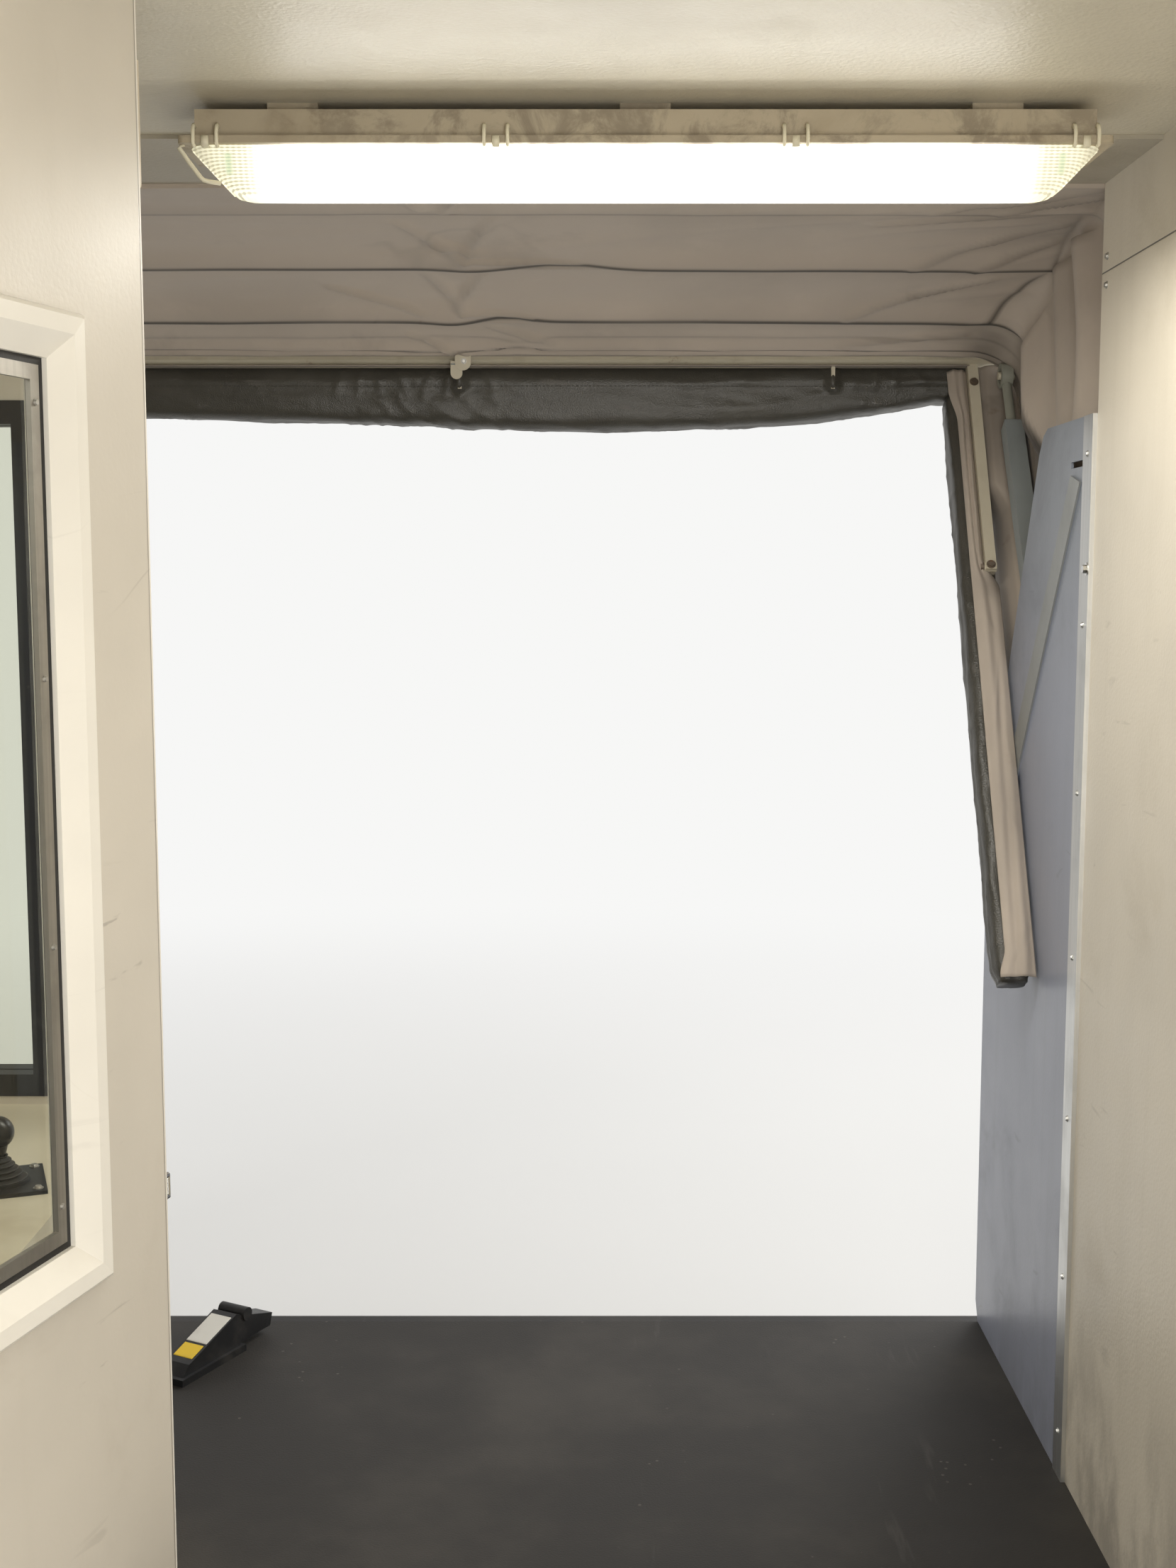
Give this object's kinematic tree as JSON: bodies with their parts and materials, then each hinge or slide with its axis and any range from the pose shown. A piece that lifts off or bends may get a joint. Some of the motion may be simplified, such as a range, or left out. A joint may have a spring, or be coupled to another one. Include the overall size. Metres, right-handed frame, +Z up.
{
  "type": "jet bridge cab",
  "caption": "Cab at the aircraft end of a passenger boarding bridge, with a folding canopy, booth door, console and ceiling lamp.",
  "frame": {"origin": "middle of the floor box's underside", "axes": "+Y towards the aircraft, +X to the right seen from inside the cab, +Z up"},
  "size_m": [3.338, 3.8658, 2.685],
  "materials": {
    "frame_paint": "satin, scuffed",
    "floor_rubber": "matte, scuffed",
    "black_rubber": "matte",
    "wall_paint": "satin, smudged",
    "flange_paint": "satin",
    "booth_paint": "satin, smudged and scratched",
    "frame_white": "semi-gloss",
    "window_glass": "clear",
    "ceiling_paint": "glossy, fine orange peel",
    "roof_paint": "satin, weathered",
    "aluminium": "brushed",
    "console_paint": "satin",
    "console_cream": "satin",
    "black_plastic": "matte",
    "boot_rubber": "matte, ribbed",
    "lamp_plastic": "dusty and yellowed",
    "clip_steel": "satin",
    "guard_paint": "satin, dusty",
    "bow_paint": "satin, rusty at the joints",
    "sensor_plastic": "matte",
    "bead_aluminium": "dull",
    "chrome": "polished",
    "canopy_cloth": "coated, creased and stained",
    "pad_vinyl": "shiny, wrinkled vinyl",
    "strut_paint": "satin",
    "rod_steel": "dull",
    "lamp_tube": "glowing tube",
    "lamp_lens": "prismatic diffuser, lit"
  },
  "bodies": {
    "cab": {"floor_box": "frame_paint", "floor_deck": "frame_paint", "floor_rubber": "floor_rubber", "floor_buffer": "black_rubber", "right_wall": "wall_paint", "left_wall": "wall_paint", "rear_wall": "wall_paint", "portal_flange": "flange_paint", "booth_wall": "booth_paint", "booth_front": "booth_paint", "window_rubber": "black_rubber", "window_glass": "window_glass", "ceiling": "ceiling_paint", "roof": "roof_paint", "front_header": "ceiling_paint", "edge_angles": "aluminium", "console_body": "console_paint", "console_top": "console_cream", "stick_flange": "black_plastic", "stick_boot": "boot_rubber", "lamp_housing": "lamp_plastic", "lamp_tubes": "lamp_tube", "lamp_lens": "lamp_lens", "lamp_clips": "clip_steel", "guards": "guard_paint", "canopy_pivots": "bow_paint", "floor_sensor": "sensor_plastic", "cloth_1": "canopy_cloth"},
    "booth_door": {"door_leaf": "booth_paint", "door_frame": "frame_white", "door_gasket": "black_rubber", "door_bead": "bead_aluminium", "door_glass": "window_glass", "door_loop": "chrome"},
    "joystick": {"stick": "black_plastic"},
    "first_bow": {"bow_1": "bow_paint", "cloth_2": "canopy_cloth"},
    "second_bow": {"bow_2": "bow_paint", "cloth_3": "canopy_cloth"},
    "third_bow": {"bow_3": "bow_paint", "cloth_4": "canopy_cloth"},
    "front_bow": {"bow_4": "bow_paint", "front_pads": "pad_vinyl"},
    "tubes": {"strut_tubes": "strut_paint"},
    "rods": {"strut_rods": "rod_steel"}
  },
  "joints": [
    {"name": "canopy_fold", "type": "hinge", "parent": "cab", "child": "first_bow", "pos_m": [0, 1.116, 0.9], "axis": [1, 0, 0], "range_deg": [0, 6], "deforming": ["cloth_1"]},
    {"name": "second_bow_fold", "type": "hinge", "parent": "first_bow", "child": "second_bow", "pos_m": [0, 1.116, 0.9], "axis": [1, 0, 0], "range_deg": [0, 8.21], "deforming": ["cloth_2"]},
    {"name": "third_bow_fold", "type": "hinge", "parent": "second_bow", "child": "third_bow", "pos_m": [0, 1.116, 0.9], "axis": [1, 0, 0], "range_deg": [0, 5.41], "deforming": ["cloth_3"]},
    {"name": "front_bow_fold", "type": "hinge", "parent": "third_bow", "child": "front_bow", "pos_m": [0, 1.116, 0.9], "axis": [1, 0, 0], "range_deg": [0, 3.31], "deforming": ["cloth_4"]},
    {"name": "strut_tilt", "type": "hinge", "parent": "cab", "child": "tubes", "pos_m": [0, 1.066, 1.15], "axis": [1, 0, 0], "range_deg": [0, 26.41]},
    {"name": "strut_slide", "type": "slide", "parent": "tubes", "child": "rods", "axis": [0, 0.5511, 0.8345], "range_m": [-0.0567, 0]},
    {"name": "booth_door_hinge", "type": "hinge", "parent": "cab", "child": "booth_door", "pos_m": [-0.074, -0.804, 1.4], "axis": [0, 0, 1], "range_deg": [-79, 16]},
    {"name": "joystick_tilt", "type": "hinge", "parent": "cab", "child": "joystick", "pos_m": [-0.195, 0.545, 0.999], "axis": [1, 0, 0], "range_deg": [-20, 20], "stiffness_Nm_per_rad": 0.6, "deforming": ["stick_boot"]}
  ],
  "couplings": [
    {"joint": "second_bow_fold", "follows": "canopy_fold", "ratio": 1.3667},
    {"joint": "third_bow_fold", "follows": "canopy_fold", "ratio": 0.9},
    {"joint": "front_bow_fold", "follows": "canopy_fold", "ratio": 0.55},
    {"joint": "strut_tilt", "follows": "canopy_fold", "ratio": 4.4},
    {"joint": "strut_slide", "follows": "canopy_fold", "m_per_rad": -0.53953}
  ]
}
